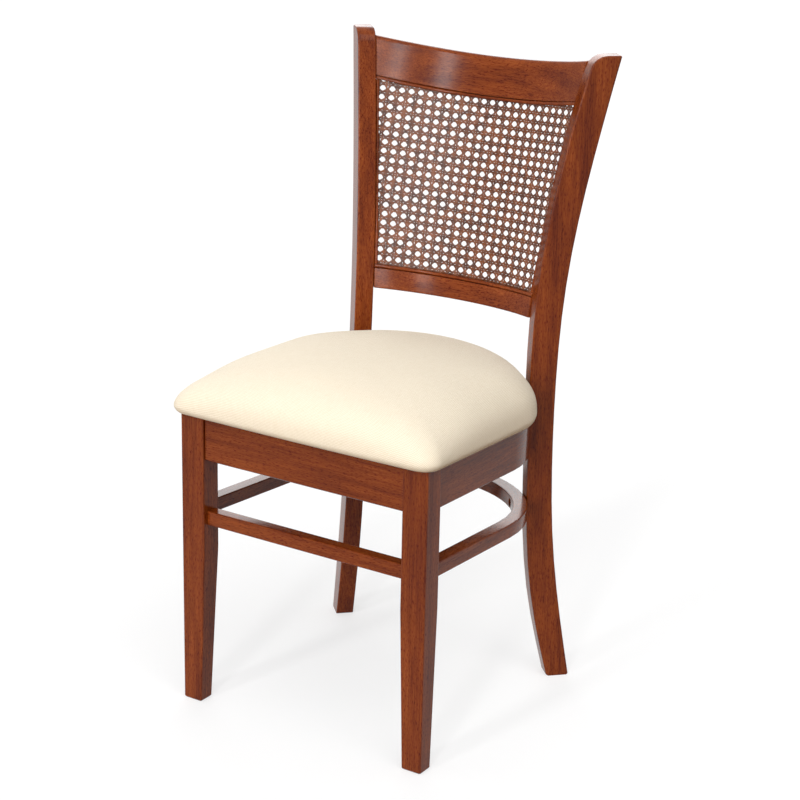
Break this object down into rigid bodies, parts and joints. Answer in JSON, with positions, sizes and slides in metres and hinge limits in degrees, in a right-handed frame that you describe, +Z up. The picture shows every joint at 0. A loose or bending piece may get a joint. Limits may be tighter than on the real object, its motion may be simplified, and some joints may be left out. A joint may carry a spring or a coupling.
{
  "type": "upholstered side chair",
  "caption": "Armless side chair with a domed upholstered seat, bentwood seat and stretcher hoops, square tapered front legs, sabre rear posts and a curved caned back.",
  "frame": {"origin": "centre of the bounding box on the floor plane the feet stand on", "axes": "+Z up, the chair faces -Y, +X to the right as seen from in front; the YZ plane is the symmetry plane"},
  "size_m": [0.4322, 0.4892, 0.8875],
  "materials": {
    "stained_beech": "satin lacquer",
    "stained_bead": "satin lacquer",
    "stained_cane": "satin lacquer",
    "cream_upholstery": "woven, matt",
    "plywood": "bare",
    "raw_beech": "bare",
    "dust_cloth": "non-woven, matt",
    "dark_steel": "blackened",
    "zinc_steel": "zinc plated"
  },
  "bodies": {
    "root": {"front_leg_left": "stained_beech", "front_leg_right": "stained_beech", "rear_post_left": "stained_beech", "rear_post_right": "stained_beech", "front_seat_rail": "stained_beech", "seat_hoop": "stained_beech", "front_stretcher": "stained_beech", "stretcher_hoop": "stained_beech", "crest_rail": "stained_beech", "lower_back_rail": "stained_beech", "cane_panel": "stained_cane", "cane_bead_top": "stained_bead", "cane_bead_bottom": "stained_bead", "cane_bead_left": "stained_bead", "cane_bead_right": "stained_bead", "seat_board": "plywood", "seat_cushion": "cream_upholstery", "dust_cover": "dust_cloth", "front_corner_block_left": "raw_beech", "front_corner_block_right": "raw_beech", "rear_corner_block_left": "raw_beech", "rear_corner_block_right": "raw_beech", "front_seat_screw_left": "zinc_steel", "front_seat_screw_right": "zinc_steel", "rear_seat_screw_left": "zinc_steel", "rear_seat_screw_right": "zinc_steel", "seat_hoop_screw_upper_left": "dark_steel", "seat_hoop_screw_lower_left": "dark_steel", "stretcher_hoop_screw_left": "dark_steel", "seat_hoop_screw_upper_right": "dark_steel", "seat_hoop_screw_lower_right": "dark_steel", "stretcher_hoop_screw_right": "dark_steel"}
  },
  "joints": []
}
